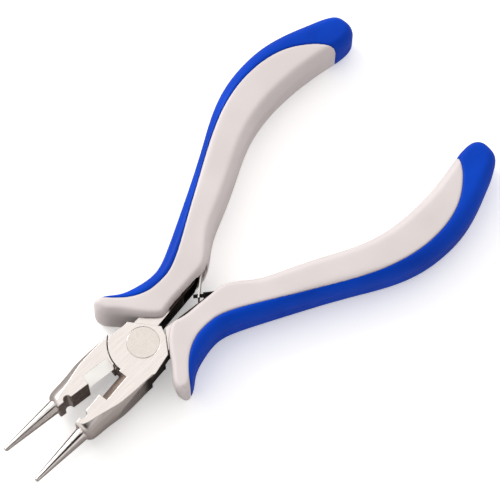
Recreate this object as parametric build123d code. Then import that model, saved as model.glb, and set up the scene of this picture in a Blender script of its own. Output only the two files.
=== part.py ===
from build123d import *
from math import atan2, cos, degrees, hypot, radians, sin, tan
import os

# Round nose pliers, modelled at rest, which is fully open.
# +X runs from the joint to the handles, +Z is up, and the joint's axis is the Z axis.
# Every function draws the FRONT half as it sits with the jaws closed and the mid-plane at z = 0.
# The rear half is the same forging turned half a turn about X.

# Joint
JOINT_T = 9.4            # thickness over the two joint plates
PLATE_GAP = 0.04         # half the gap between the two plates
PLATE_R = 8.7            # round end of each joint plate
SHOULDER_R = 9.0         # hollow in the other half that the round end turns in
BAR_TOP = 6.4            # half width of the plate on the guard side
BAR_LOW = 6.75           # half width of the plate on the jaw side
OPEN_DEG = 6.5           # each half's turn away from closed
# Where the plate's straight sides meet its round end, on the guard side and the jaw side
BAR_TOP_CORNERS = [(-4.3, 7.56), (1.0, BAR_TOP)]
BAR_LOW_CORNERS = [(1.5, -BAR_LOW), (-4.0, -7.4)]
STEP_DEG = 30.5          # direction of the neck's step and of the grip's front face
STEP_DIST = 4.75         # pivot to the step between plate and neck
STOP_DIST = 5.65         # pivot to the plate's stop edge
NECK_DIST = 5.85         # pivot to the other half's full-thickness neck

# Rivet
RIVET_R = 3.0
RIVET_HEAD_R = 4.1
RIVET_SINK = 1.1
RIVET_FIT = 0.05

# Jaws
JAW_END = 26.2           # pivot to the end of the jaw's body
JAW_GAP = 0.05           # half the gap between the closed gripping faces
TIP_X = 42.4             # pivot to the tip
CONE_BASE_R = 1.86
CONE_TIP_R = 0.6
TIP_ROUND = 0.25
CONE_ROOT = 1.0          # part of the cone inside the jaw's body
CUTTER_NEAR = 9.3        # recess of the side cutter, from the pivot
CUTTER_FAR = 16.9
CUTTER_BEVEL = 2.4       # width of the bevel on the flat face
CUTTER_EDGE_Z = 1.0      # height of the cutting edge above the mid-plane
CUTTER_SHY = 0.04        # cutting edge behind the gripping face
NOTCH_X = 23.3           # crimping notch
NOTCH_R = 1.1
# Turned outside of the jaw: distance from the pivot and radius
NOSE_PROFILE = [(26.2, 4.2), (25.6, 4.75), (24.4, 5.15), (21.6, 5.65), (19.5, 6.1), (17.7, 6.55), (15.7, 7.05),
                (13.9, 7.35), (11, 7.75), (4, 8.5)]
# Ground side of the jaw
JAW_SIDE = [(-4, -7.4), (-7, -6.85), (-14, -6.6), (-20, -6.3), (-26.2, -5.6)]

# Tang
TANG_T = 7.2
TANG_WALL = 0.12         # its inner face, from the closed tool's centre line
TANG_OUTER = [(1.5, 5.3), (6.0, 5.3), (14, 5.9), (22, 6.9), (35, 11.9), (48, 16.6), (60, 20.2), (70, 21.4)]
TANG_INNER = [(70, 17.4), (60, 16.6), (48, 12.6), (36, 7.9), (30.5, 4.9), (27.5, 3.2)]
TANG_FLAT = 20.2         # end of its straight inner face
TANG_TIP = (80, 19.2)
TANG_TIP_R = 1.6

# Grip
GRIP_T = 12.6
GRIP_ROUND_H = 4.0       # height of its rounded rims
GRIP_ROUND_STEPS = (0, 30, 60, 90)
FRONT_LEAN = 1.0         # how far the grip's front face leans forward over its thickness
FRONT_END = 8.5          # the front face lies before this
# Its outline clockwise from the joint: x, y and how far the rim is rounded in there
GRIP_OUTLINE = [(7.8, 0.85, 1.1), (5.8, 2.9, 1.2), (3.6, 6.2, 1.4), (1.3, 10.0, 1.4), (-0.5, 13.0, 1.4),
                (-0.6, 15.1, 1.4), (0.7, 16.45, 1.4), (2.9, 15.8, 1.4), (6, 13.1, 1.8), (11, 10.6, 2.4),
                (16.5, 9.5, 2.8), (22, 10.7, 3.0), (30, 13.6, 3.2), (40, 17.4, 3.3), (50, 21.5, 3.4),
                (60, 25.6, 3.5), (67, 27.3, 3.5), (74, 27.6, 3.5), (81, 26.7, 3.4), (89, 23.8, 3.3),
                (95.2, 20.6, 3.0), (98.8, 18.4, 2.6), (100.5, 16.4, 2.4), (100.8, 14.0, 2.3),
                (100.2, 11.6, 2.2), (98.6, 10.2, 2.2), (96.1, 9.95, 2.2), (90, 11.4, 2.4), (82, 13.4, 2.6),
                (75, 14.5, 2.6), (68, 14.8, 2.6), (60, 13.8, 2.6), (50, 10.4, 2.6), (40, 6.9, 2.5),
                (32, 4.0, 2.2), (27.5, 1.4, 1.6), (24.5, 0.35, 1.2), (21.2, 0.35, 1.1), (16, 0.55, 1.1),
                (11, 0.55, 1.1)]
WINDOW_T = 7.2           # opening in the grip that shows the tang's inner face
WINDOW_END = 19.8
WINDOW_DEPTH = 1.0       # into the grip from the closed tool's centre line

# Colour line between the two mouldings, from the guard to the far end's inner side
TRIM_LINE = [(1.2, 17.6), (2.6, 15.2), (5.6, 11.1), (9, 8.25), (12, 6.95), (15, 6.45), (18, 6.45),
             (22, 7.45), (30, 10.8), (40, 15.2), (50, 19.5), (60, 23.0), (67, 24.2), (73, 24.2),
             (80, 22.8), (84, 21.0), (88, 17.9), (91, 14.3), (92.6, 9.5)]

# Leaf springs
LEAF_T = 0.35
LEAF_W = 5.0
SHOULDER_W = 4.2         # tongue leaf, up to its shoulders
TONGUE_W = 2.0
TONGUE_PAST = 1.5        # tongue past the crossing
SLOT_W = 2.5
SLOT_SHORT = 1.05        # slot on the eye's side of the crossing
SLOT_PAST = 0.85         # slot past the crossing
SLOT_WEB = 0.45          # metal beyond the slot
EYE = (25.2, 1.75)       # pin that holds each leaf
EYE_R = 0.85
EYE_LAP = 0.1            # leaf let into the eye's wall
PIN_R = 0.45
PIN_FIT = 0.05
PIN_LEN = 7.0
LEAF_REACH = 7.2         # pin to the place where the leaves cross
LEAF_DEG = 33.1          # leaf's angle from its own handle, fully open
POCKET_W = 5.5
POCKET = [(15.9, -2), (23.0, -2), (23.0, -0.05), (23.9, 0.5), (26.3, 0.62), (26.3, 2.75), (22.0, 2.75),
          (21.4, 1.5), (19.4, 1.35), (15.9, 1.0)]

HALF = JOINT_T / 2
FAR = 200


def slab(shape_2d, low, high):
    return Pos(0, 0, low) * extrude(shape_2d, high - low)


def half_plane(angle, distance):
    """Everything on the pivot's side of a line whose normal points along angle."""
    return Rot(0, 0, angle) * Pos(distance - FAR / 2, 0) * Rectangle(FAR, FAR)


def polygon(points):
    return make_face(Polyline(*points, close=True))


def plate_outline():
    stop = half_plane(-STEP_DEG, STOP_DIST) & half_plane(-STEP_DEG - 2 * OPEN_DEG, STOP_DIST)
    sides = polygon([*BAR_TOP_CORNERS, (FAR, BAR_TOP), (FAR, -BAR_LOW), *BAR_LOW_CORNERS,
                     (-FAR, BAR_LOW_CORNERS[-1][1]), (-FAR, BAR_TOP_CORNERS[0][1])])
    return Circle(PLATE_R) & stop & sides & half_plane(STEP_DEG, STEP_DIST)


def jaw_body():
    curve = [(-x, r) for x, r in NOSE_PROFILE]
    end_x, root_x = curve[0][0], curve[-1][0]
    nose = make_face(Spline(*curve) + Polyline(curve[-1], (root_x, 0), (end_x, 0), curve[0]))
    turned = revolve(nose, Axis.X, 360)
    blank = slab(polygon([(end_x, -JAW_GAP), (root_x, -JAW_GAP), *JAW_SIDE]), -HALF, HALF)
    return (turned & blank) - slab(Circle(SHOULDER_R), -FAR, PLATE_GAP)


def cutter_recess(edge_z):
    length = CUTTER_FAR - CUTTER_NEAR
    low = HALF + 1
    slope_up = CUTTER_BEVEL / (HALF - edge_z)
    slope_down = CUTTER_BEVEL / (HALF + edge_z)
    edge = (-JAW_GAP - CUTTER_SHY, edge_z)
    upper = (-CUTTER_BEVEL - slope_up, low)
    lower = (-CUTTER_BEVEL - slope_down, -low)
    wedge = Plane.YZ * polygon([edge, upper, (5, low), (5, -low), lower])
    return Pos(-CUTTER_FAR, 0, 0) * extrude(wedge, length)


def cone():
    run = TIP_X - JAW_END
    slant = atan2(CONE_BASE_R - CONE_TIP_R, run)
    root_r = CONE_BASE_R + CONE_ROOT * tan(slant)
    length = run + CONE_ROOT
    profile = polygon([(0, 0), (root_r, 0), (CONE_TIP_R, length - TIP_ROUND),
                       (CONE_TIP_R - TIP_ROUND, length), (0, length)])
    turned = revolve(Plane.XZ * profile, Axis.Z, 360)
    return Pos(-JAW_END + CONE_ROOT, -JAW_GAP - root_r, 0) * Rot(0, 0, -degrees(slant)) * Rot(0, -90, 0) * turned


def tang():
    tip_x, tip_y = TANG_TIP
    back = Spline(*TANG_OUTER, (tip_x, tip_y + TANG_TIP_R))
    end = ThreePointArc((tip_x, tip_y + TANG_TIP_R), (tip_x + TANG_TIP_R, tip_y), (tip_x, tip_y - TANG_TIP_R))
    front = Spline((tip_x, tip_y - TANG_TIP_R), *TANG_INNER)
    root = Polyline(TANG_INNER[-1], (TANG_FLAT, TANG_WALL), (4.0, TANG_WALL), TANG_OUTER[0])
    outline = make_face(back + end + front + root)
    beyond_step = outline - half_plane(STEP_DEG, NECK_DIST)
    neck = slab(outline, PLATE_GAP, TANG_T / 2)
    return neck + slab(beyond_step, -TANG_T / 2, TANG_T / 2)


def leaf_pocket():
    return slab(polygon(POCKET), -POCKET_W / 2, POCKET_W / 2)


def rivet(fit=0):
    shank = Cylinder(RIVET_R + fit, JOINT_T)
    sink = Cone(RIVET_R + fit, RIVET_HEAD_R + fit, RIVET_SINK)
    heads = Pos(0, 0, HALF - RIVET_SINK / 2) * sink
    return shank + heads + Rot(180, 0, 0) * heads


def lever(edge_z, rivet_fit):
    plate = slab(plate_outline(), PLATE_GAP, HALF)
    notch = Pos(-NOTCH_X, 0, 0) * Cylinder(NOTCH_R, JOINT_T + 1)
    jaw = jaw_body() - cutter_recess(edge_z) - notch
    return plate + jaw + cone() + tang() - leaf_pocket() - leaf_pin() - rivet(rivet_fit)


def grip_section(height, share):
    """The outline at one height, moved in by a share of each point's rounding."""
    ring = []
    for i, (x, y, rounding) in enumerate(GRIP_OUTLINE):
        back_x, back_y, _ = GRIP_OUTLINE[i - 1]
        next_x, next_y, _ = GRIP_OUTLINE[(i + 1) % len(GRIP_OUTLINE)]
        along_x = next_x - back_x
        along_y = next_y - back_y
        length = hypot(along_x, along_y)
        lean = FRONT_LEAN * height / GRIP_T * max(0, along_y / length) if x < FRONT_END else 0
        inset = (share * rounding + lean) / length
        ring.append((x + along_y * inset, y - along_x * inset))
    return Pos(0, 0, height) * make_face(Spline(*ring, periodic=True))


def grip_blank():
    straight = GRIP_T / 2 - GRIP_ROUND_H
    rises = [(straight + GRIP_ROUND_H * sin(radians(step)), 1 - cos(radians(step))) for step in GRIP_ROUND_STEPS]
    upper = loft([grip_section(height, share) for height, share in rises])
    lower = loft([grip_section(-height, share) for height, share in reversed(rises)])
    middle = loft([grip_section(-straight, 0), grip_section(straight, 0)])
    return upper + middle + lower


def tang_window():
    """A slot with a round end, cut from beyond the centre line."""
    straight = Pos(WINDOW_END / 2, 0, 0) * Box(WINDOW_END, 2 * WINDOW_DEPTH, WINDOW_T)
    rounded = Pos(WINDOW_END, 0, 0) * Rot(90, 0, 0) * Cylinder(WINDOW_T / 2, 2 * WINDOW_DEPTH)
    return straight + rounded


def trim_region():
    line = Spline(*TRIM_LINE)
    around = Polyline(TRIM_LINE[-1], (92.6, -20), (130, -20), (130, 50), (-10, 50), (-10, 22), TRIM_LINE[0])
    return slab(make_face(line + around), -GRIP_T, GRIP_T)


def strip(start, end, width):
    """Flat spring stock between two distances from the eye."""
    return Pos(-(start + end) / 2, 0, 0) * Box(end - start, LEAF_T, width)


def rolled_eye(width):
    return Cylinder(EYE_R, width) - Cylinder(PIN_R + PIN_FIT, width)


def slotted_leaf():
    """The wide leaf, with a slot near its end that the other leaf's tongue passes through."""
    leaf = strip(0, LEAF_REACH + SLOT_PAST + SLOT_WEB, LEAF_W)
    slot = strip(LEAF_REACH - SLOT_SHORT, LEAF_REACH + SLOT_PAST, SLOT_W)
    return leaf - slot - Cylinder(EYE_R - EYE_LAP, LEAF_W) + rolled_eye(LEAF_W)


def tongue_leaf():
    wide = strip(0, LEAF_REACH - SLOT_SHORT, SHOULDER_W)
    tongue = strip(0, LEAF_REACH + TONGUE_PAST, TONGUE_W)
    return wide + tongue - Cylinder(EYE_R - EYE_LAP, SHOULDER_W) + rolled_eye(SHOULDER_W)


def in_handle(leaf):
    """Put a leaf on its pin at its open angle."""
    return Pos(EYE[0], EYE[1], 0) * Rot(0, 0, LEAF_DEG) * leaf


def leaf_pin():
    return Pos(EYE[0], EYE[1], 0) * Cylinder(PIN_R, PIN_LEN)


def front(shape):
    return Pos(0, 0, HALF) * Rot(0, 0, OPEN_DEG) * shape


def rear(shape):
    return Pos(0, 0, HALF) * Rot(0, 0, -OPEN_DEG) * Rot(180, 0, 0) * shape


def build():
    front_lever = lever(CUTTER_EDGE_Z, RIVET_FIT)
    rear_lever = lever(-CUTTER_EDGE_Z, 0)
    grip = grip_blank() - tang_window() - leaf_pocket() - leaf_pin()
    grip_body = grip - trim_region() - front_lever
    grip_trim = grip & trim_region()
    return {
        "front_lever": front(front_lever),
        "rear_lever": rear(rear_lever),
        "joint_rivet": Pos(0, 0, HALF) * rivet(),
        "front_grip_body": front(grip_body),
        "front_grip_trim": front(grip_trim),
        "rear_grip_body": rear(grip_body),
        "rear_grip_trim": rear(grip_trim),
        "slotted_leaf_spring": front(in_handle(slotted_leaf())),
        "tongue_leaf_spring": rear(in_handle(tongue_leaf())),
        "slotted_leaf_pin": front(leaf_pin()),
        "tongue_leaf_pin": rear(leaf_pin()),
    }


os.makedirs("parts", exist_ok=True)
for name, shape in build().items():
    export_step(shape, "parts/" + name + ".step")
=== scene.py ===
from math import cos, radians, sin

import bpy
import bmesh
from mathutils import Matrix, Vector

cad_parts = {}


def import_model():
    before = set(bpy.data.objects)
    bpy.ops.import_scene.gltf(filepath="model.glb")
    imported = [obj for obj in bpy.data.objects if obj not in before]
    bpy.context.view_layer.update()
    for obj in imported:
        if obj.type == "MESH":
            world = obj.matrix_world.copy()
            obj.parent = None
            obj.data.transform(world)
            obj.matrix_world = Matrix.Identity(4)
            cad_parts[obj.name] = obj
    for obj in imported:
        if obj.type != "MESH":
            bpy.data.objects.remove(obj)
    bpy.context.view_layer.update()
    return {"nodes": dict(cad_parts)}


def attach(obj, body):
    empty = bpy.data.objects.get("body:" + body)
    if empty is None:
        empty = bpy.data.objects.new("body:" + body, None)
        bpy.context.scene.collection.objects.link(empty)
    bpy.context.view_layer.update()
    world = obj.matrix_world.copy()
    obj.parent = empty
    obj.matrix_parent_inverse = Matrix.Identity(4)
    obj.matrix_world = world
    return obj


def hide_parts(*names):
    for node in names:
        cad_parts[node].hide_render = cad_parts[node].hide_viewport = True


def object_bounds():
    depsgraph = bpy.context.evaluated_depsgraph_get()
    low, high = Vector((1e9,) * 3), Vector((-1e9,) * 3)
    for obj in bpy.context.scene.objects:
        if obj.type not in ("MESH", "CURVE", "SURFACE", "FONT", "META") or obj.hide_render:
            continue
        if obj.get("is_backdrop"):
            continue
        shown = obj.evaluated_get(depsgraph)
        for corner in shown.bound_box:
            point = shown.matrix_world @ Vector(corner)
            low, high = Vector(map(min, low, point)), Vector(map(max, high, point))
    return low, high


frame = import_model()
nodes = frame["nodes"]
scene = bpy.context.scene
MM = 0.001

OPEN_TURN = radians(6.5)   # each half's turn away from closed
MID_Z = 4.7 * MM           # the joint's mid-plane
TANG_HALF = 3.7 * MM       # just over half the tang's thickness
JAW_ROOT = -5.5 * MM       # walls behind this are in the joint's shade
CUTTER_FAR = -17.5 * MM    # the side cutter lies behind this
NOSE_ROOT = -26.0 * MM     # the round nose lies before this


# ---------------------------------------------------------------- node helpers
def new_material(name):
    mat = bpy.data.materials.new(name)
    mat.use_nodes = True
    tree = mat.node_tree
    return mat, tree, tree.nodes["Principled BSDF"]


def add(tree, kind, **values):
    node = tree.nodes.new(kind)
    for key, value in values.items():
        if key in node.inputs:
            node.inputs[key].default_value = value
        else:
            setattr(node, key, value)
    return node


def link(tree, a, b):
    tree.links.new(a, b)


def noise(tree, scale, detail=3.0, rough=0.5, stretch=(1, 1, 1), turn=0.0):
    """Noise in the object's own coordinates, in features per millimetre."""
    coord = add(tree, "ShaderNodeTexCoord")
    mapping = add(tree, "ShaderNodeMapping")
    mapping.inputs["Scale"].default_value = [s / MM for s in stretch]
    mapping.inputs["Rotation"].default_value = (0, 0, turn)
    tex = add(tree, "ShaderNodeTexNoise", Scale=scale, Detail=detail, Roughness=rough)
    link(tree, coord.outputs["Object"], mapping.inputs["Vector"])
    link(tree, mapping.outputs["Vector"], tex.inputs["Vector"])
    return tex.outputs["Fac"]


def spread(tree, value, low, high, to_low=0.0, to_high=1.0, smooth=False):
    node = add(tree, "ShaderNodeMapRange")
    if smooth:
        node.interpolation_type = "SMOOTHSTEP"
    for key, v in (("From Min", low), ("From Max", high), ("To Min", to_low), ("To Max", to_high)):
        node.inputs[key].default_value = v
    link(tree, value, node.inputs["Value"])
    return node.outputs["Result"]


def math_node(tree, op, a, b=None):
    node = add(tree, "ShaderNodeMath", operation=op)
    for i, v in enumerate((a, b)):
        if v is None:
            continue
        if isinstance(v, (int, float)):
            node.inputs[i].default_value = v
        else:
            link(tree, v, node.inputs[i])
    return node.outputs[0]


def times(tree, a, b):
    return math_node(tree, "MULTIPLY", a, b)


def axes(tree, vector):
    """The X, Y and Z of a vector, by name."""
    node = add(tree, "ShaderNodeSeparateXYZ")
    link(tree, vector, node.inputs[0])
    return node.outputs


def mix(tree, fac, a, b):
    node = add(tree, "ShaderNodeMix", data_type="RGBA")
    if isinstance(fac, (int, float)):
        node.inputs[0].default_value = fac
    else:
        link(tree, fac, node.inputs[0])
    for i, v in ((6, a), (7, b)):
        if isinstance(v, tuple):
            node.inputs[i].default_value = v + (1.0,)
        else:
            link(tree, v, node.inputs[i])
    return node.outputs[2]


def bump(tree, height, distance, strength, normal):
    node = add(tree, "ShaderNodeBump", Strength=strength, Distance=distance)
    link(tree, height, node.inputs["Height"])
    link(tree, normal, node.inputs["Normal"])
    return node.outputs["Normal"]


def soft_edges(tree, radius):
    node = add(tree, "ShaderNodeBevel", Radius=radius)
    node.samples = 6
    return node.outputs["Normal"]


# ---------------------------------------------------------------- materials
def rubber(name, light, dark, roughness, specular):
    mat, tree, bsdf = new_material(name)
    cloud = noise(tree, 0.06, 2.0)
    grain = noise(tree, 2.2, 4.0, 0.6)
    colour = mix(tree, spread(tree, cloud, 0.35, 0.65), dark, light)
    link(tree, colour, bsdf.inputs["Base Color"])
    rough = spread(tree, noise(tree, 0.35, 4.0), 0.3, 0.7, roughness - 0.05, roughness + 0.07)
    link(tree, rough, bsdf.inputs["Roughness"])
    bsdf.inputs["Specular IOR Level"].default_value = specular
    normal = bump(tree, grain, 0.02 * MM, 0.5, soft_edges(tree, 0.3 * MM))
    link(tree, normal, bsdf.inputs["Normal"])
    return mat


def lifted(tree, normal, amount):
    """A shading normal turned up towards the light."""
    lift = add(tree, "ShaderNodeCombineXYZ")
    link(tree, amount, lift.inputs["Z"])
    total = add(tree, "ShaderNodeVectorMath", operation="ADD")
    link(tree, normal, total.inputs[0])
    link(tree, lift.outputs[0], total.inputs[1])
    unit = add(tree, "ShaderNodeVectorMath", operation="NORMALIZE")
    link(tree, total.outputs[0], unit.inputs[0])
    return unit.outputs[0]


def lever_zones(tree, side):
    """Masks for a lever's nose, gripping faces, cutter bevel, and the tang and joint walls, which lie in shade.
    side is +1 or -1, the way its gripping face looks along Y."""
    geo = add(tree, "ShaderNodeNewGeometry")
    normal = axes(tree, geo.outputs["Normal"])
    coord = add(tree, "ShaderNodeTexCoord")
    place = axes(tree, coord.outputs["Object"])
    inward = times(tree, normal["Y"], side)
    upright = spread(tree, math_node(tree, "ABSOLUTE", normal["Z"]), 0.12, 0.02, smooth=True)
    nose = spread(tree, place["X"], NOSE_ROOT, NOSE_ROOT - 0.8 * MM)
    gripping = times(tree, upright, spread(tree, inward, 0.75, 0.9, smooth=True))
    facing_in = spread(tree, inward, 0.2, 0.35)
    facing_up = spread(tree, normal["Z"], 0.15, 0.3)
    behind = spread(tree, place["X"], CUTTER_FAR - 0.5 * MM, CUTTER_FAR)
    bevel = times(tree, times(tree, facing_in, facing_up), behind)
    from_middle = math_node(tree, "ABSOLUTE", math_node(tree, "SUBTRACT", place["Z"], MID_Z))
    thin = spread(tree, from_middle, TANG_HALF + 0.1 * MM, TANG_HALF)
    tang = times(tree, thin, spread(tree, place["X"], 9.5 * MM, 11 * MM, smooth=True))
    at_joint = spread(tree, place["X"], JAW_ROOT - 3 * MM, JAW_ROOT, smooth=True)
    shade = math_node(tree, "MAXIMUM", tang, times(tree, upright, at_joint))
    return nose, gripping, bevel, shade


def steel(name, light, dark, roughness, stretch=(1, 1, 1), turn=0.0, edge=0.18,
          side=None, bevel_painted_light=(1, 1, 1), bevel_lift=0.0):
    """Ground steel. side is given for a lever, and the last two arguments are its side cutter's: a painted
    light colour for the bevel and the lift of its shading normal.
    """
    mat, tree, bsdf = new_material(name)
    bsdf.inputs["Metallic"].default_value = 1.0
    lines = noise(tree, 1.2, 4.0, 0.6, stretch, turn)
    cloud = noise(tree, 0.18, 3.0)
    colour = mix(tree, spread(tree, lines, 0.3, 0.7), dark, light)
    rough = spread(tree, cloud, 0.3, 0.7, roughness - 0.04, roughness + 0.06)
    shape = soft_edges(tree, edge * MM)
    if side is not None:
        nose, gripping, bevel, shade = lever_zones(tree, side)
        patches = spread(tree, noise(tree, 0.8, 4.0), 0.3, 0.7)
        # painted shade on the nose
        colour = mix(tree, nose, colour, mix(tree, patches, NOSE_SHADE_DARK, NOSE_SHADE_LIGHT))
        # painted shade on the gripping faces
        colour = mix(tree, gripping, colour, mix(tree, patches, FACE_SHADE_DARK, FACE_SHADE_LIGHT))
        # painted light on the cutter bevel
        colour = mix(tree, bevel, colour, bevel_painted_light)
        colour = mix(tree, shade, colour, mix(tree, patches, SHADE_DARK, SHADE_LIGHT))
        for mask, change in ((nose, -0.12), (bevel, 0.1), (shade, 0.2)):
            rough = math_node(tree, "ADD", rough, times(tree, mask, change))
        shape = lifted(tree, shape, times(tree, bevel, bevel_lift))
    link(tree, colour, bsdf.inputs["Base Color"])
    link(tree, rough, bsdf.inputs["Roughness"])
    link(tree, bump(tree, lines, 0.006 * MM, 0.5, shape), bsdf.inputs["Normal"])
    return mat


def give(node, mat):
    for place in nodes[node].material_slots:
        place.material = mat


GREY_LIGHT, GREY_DARK = (0.745, 0.685, 0.685), (0.690, 0.630, 0.628)
BLUE_LIGHT, BLUE_DARK = (0.001, 0.060, 0.560), (0.001, 0.044, 0.440)
STEEL_LIGHT, STEEL_DARK = (0.84, 0.785, 0.760), (0.78, 0.72, 0.695)
# Painted shade: brown on the gripping faces, for the shaded floor between the jaws that they mirror.
FACE_SHADE_LIGHT, FACE_SHADE_DARK = (0.48, 0.39, 0.345), (0.30, 0.235, 0.205)
# Painted shade: the round nose is darker than the other steel, for the darker surroundings it mirrors.
NOSE_SHADE_LIGHT, NOSE_SHADE_DARK = (0.76, 0.710, 0.685), (0.62, 0.580, 0.560)
SHADE_LIGHT, SHADE_DARK = (0.060, 0.046, 0.038), (0.024, 0.017, 0.014)
BRUSHED = (0.1, 1.5, 0.1)   # stretch of the grinding lines
ROLLED = (1, 1, 0.1)

grip_grey = rubber("grip_grey", GREY_LIGHT, GREY_DARK, 0.42, 0.4)
grip_blue = rubber("grip_blue", BLUE_LIGHT, BLUE_DARK, 0.38, 0.08)
# Painted shade: the front cutter bevel is tinted brown for its shaded side.
steel_front = steel("steel_front", STEEL_LIGHT, STEEL_DARK, 0.24, BRUSHED, -OPEN_TURN,
                    side=1.0, bevel_painted_light=(0.95, 0.78, 0.68))
# Painted highlight: the rear cutter bevel is near white, as bright as the lit flat.
steel_rear = steel("steel_rear", STEEL_LIGHT, STEEL_DARK, 0.24, BRUSHED, OPEN_TURN,
                   side=-1.0, bevel_painted_light=(1.0, 0.98, 0.95), bevel_lift=20.0)
steel_rivet = steel("steel_rivet", (0.77, 0.72, 0.675), (0.71, 0.665, 0.62), 0.27)
# Painted light: the two leaf springs are the same steel, the slotted leaf painted bright as if lit and the
# tongue leaf painted near black as if in shade.
steel_slotted_painted_highlight = steel("steel_slotted_painted_highlight", (0.92, 0.90, 0.88), (0.84, 0.82, 0.80), 0.38, ROLLED, edge=0.08)
steel_tongue_painted_shade = steel("steel_tongue_painted_shade", (0.045, 0.042, 0.040), (0.020, 0.019, 0.018), 0.4, ROLLED, edge=0.08)
give("front_lever", steel_front)
give("rear_lever", steel_rear)
give("joint_rivet", steel_rivet)
for part in ("leaf_spring", "leaf_pin"):
    give("slotted_" + part, steel_slotted_painted_highlight)
    give("tongue_" + part, steel_tongue_painted_shade)


# ---------------------------------------------------------------- moulded grips
VOXEL = 0.30 * MM


def moulded(node, body, mat):
    """A soft-edged moulding over the CAD solid: an even skin, smoothed at every rim and at the colour line."""
    mesh = nodes[node].data.copy()
    mesh.name = "soft_" + node
    bm = bmesh.new()
    bm.from_mesh(mesh)
    bmesh.ops.remove_doubles(bm, verts=bm.verts, dist=0.001 * MM)
    bm.to_mesh(mesh)
    bm.free()
    mesh.materials.clear()
    mesh.materials.append(mat)
    piece = bpy.data.objects.new("soft_" + node, mesh)
    scene.collection.objects.link(piece)
    skin = piece.modifiers.new("skin", "REMESH")
    skin.mode = "VOXEL"
    skin.voxel_size = VOXEL
    skin.use_smooth_shade = True
    soft = piece.modifiers.new("soft", "SMOOTH")
    soft.factor = 0.5
    soft.iterations = 5
    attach(piece, body)
    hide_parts(node)


for side in ("front", "rear"):
    moulded(side + "_grip_body", side + "_half", grip_grey)
    moulded(side + "_grip_trim", side + "_half", grip_blue)


# ---------------------------------------------------------------- floor, light, camera
def floor():
    bm = bmesh.new()
    bmesh.ops.create_grid(bm, x_segments=1, y_segments=1, size=2.0)
    mesh = bpy.data.meshes.new("floor")
    bm.to_mesh(mesh)
    bm.free()
    ground = bpy.data.objects.new("floor", mesh)
    ground.location.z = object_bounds()[0].z - 0.02 * MM
    mat, tree, bsdf = new_material("floor_paper")
    # Painted light: the floor glows to the camera only, which lightens the shadows on it, and it shows darker
    # in mirror reflections, a painted reflection of shade.
    ray = add(tree, "ShaderNodeLightPath")
    paper_and_reflection_shade = mix(tree, ray.outputs["Is Glossy Ray"], (0.97, 0.97, 0.97), (0.38, 0.36, 0.35))
    link(tree, paper_and_reflection_shade, bsdf.inputs["Base Color"])
    bsdf.inputs["Emission Color"].default_value = (1, 1, 1, 1)
    link(tree, times(tree, ray.outputs["Is Camera Ray"], 0.35), bsdf.inputs["Emission Strength"])
    bsdf.inputs["Roughness"].default_value = 0.9
    bsdf.inputs["Specular IOR Level"].default_value = 0.1
    mesh.materials.append(mat)
    scene.collection.objects.link(ground)
    ground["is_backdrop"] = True


def key_light():
    direction = Vector((-0.10, 0.85, 0.52)).normalized()
    data = bpy.data.lights.new("key", "AREA")
    data.shape = "DISK"
    data.size = 0.40
    data.energy = 2.4
    data.color = (1.0, 0.99, 0.98)
    lamp = bpy.data.objects.new("key", data)
    lamp.location = Vector((0.03, 0, 0)) + direction * 0.7
    lamp.rotation_mode = "QUATERNION"
    lamp.rotation_quaternion = (-direction).to_track_quat("-Z", "Y")
    scene.collection.objects.link(lamp)


def dark_patches(tree, direction, parts):
    """A dark strip overhead and a dark patch low on one side, for the polished steel to mirror."""
    slope = math_node(tree, "DIVIDE", parts["Y"], math_node(tree, "MAXIMUM", parts["Z"], 0.01))
    across = math_node(tree, "ABSOLUTE", math_node(tree, "ADD", slope, 0.30))
    along = math_node(tree, "ABSOLUTE", math_node(tree, "ADD", parts["X"], 0.15))
    strip = times(tree, spread(tree, across, 0.34, 0.18, smooth=True),
                  spread(tree, along, 0.62, 0.42, smooth=True))
    towards = add(tree, "ShaderNodeVectorMath", operation="DOT_PRODUCT")
    link(tree, direction, towards.inputs[0])
    towards.inputs[1].default_value = Vector((-0.35, -0.66, 0.62)).normalized()
    patch = spread(tree, towards.outputs["Value"], cos(radians(24)), cos(radians(13)), smooth=True)
    return math_node(tree, "MAXIMUM", strip, patch)


def world():
    w = bpy.data.worlds.new("studio")
    w.use_nodes = True
    scene.world = w
    tree = w.node_tree
    bg = tree.nodes["Background"]
    direction = add(tree, "ShaderNodeTexCoord").outputs["Generated"]
    parts = axes(tree, direction)
    height = spread(tree, parts["Z"], 0.05, 0.75, smooth=True)
    sky = mix(tree, height, (0.70, 0.685, 0.685), (1.0, 0.985, 0.965))
    near = times(tree, spread(tree, parts["Y"], -0.55, -0.85, smooth=True),
                 spread(tree, parts["Z"], 0.6, 0.3, smooth=True))
    sky = mix(tree, near, sky, (0.42, 0.395, 0.385))
    colour = mix(tree, dark_patches(tree, direction, parts), sky, (0.03, 0.025, 0.025))
    link(tree, colour, bg.inputs["Color"])
    bg.inputs["Strength"].default_value = 1.12


AZIMUTH, ELEVATION = radians(-45.35), radians(69.48)


def camera():
    data = bpy.data.cameras.new("camera")
    data.sensor_width = 36
    data.lens = 159.91
    data.clip_start = 0.01
    data.clip_end = 10
    cam = bpy.data.objects.new("camera", data)
    cam.location = Vector((-102.480, -138.150, 528.334)) * MM
    back = Vector((sin(AZIMUTH) * cos(ELEVATION), -cos(AZIMUTH) * cos(ELEVATION), sin(ELEVATION)))
    right = Vector((cos(AZIMUTH), sin(AZIMUTH), 0))
    up = back.cross(right)
    cam.rotation_mode = "QUATERNION"
    cam.rotation_quaternion = Matrix((right, up, back)).transposed().to_quaternion()
    scene.collection.objects.link(cam)
    scene.camera = cam


floor()
world()
key_light()
camera()
scene.view_settings.view_transform = "Standard"
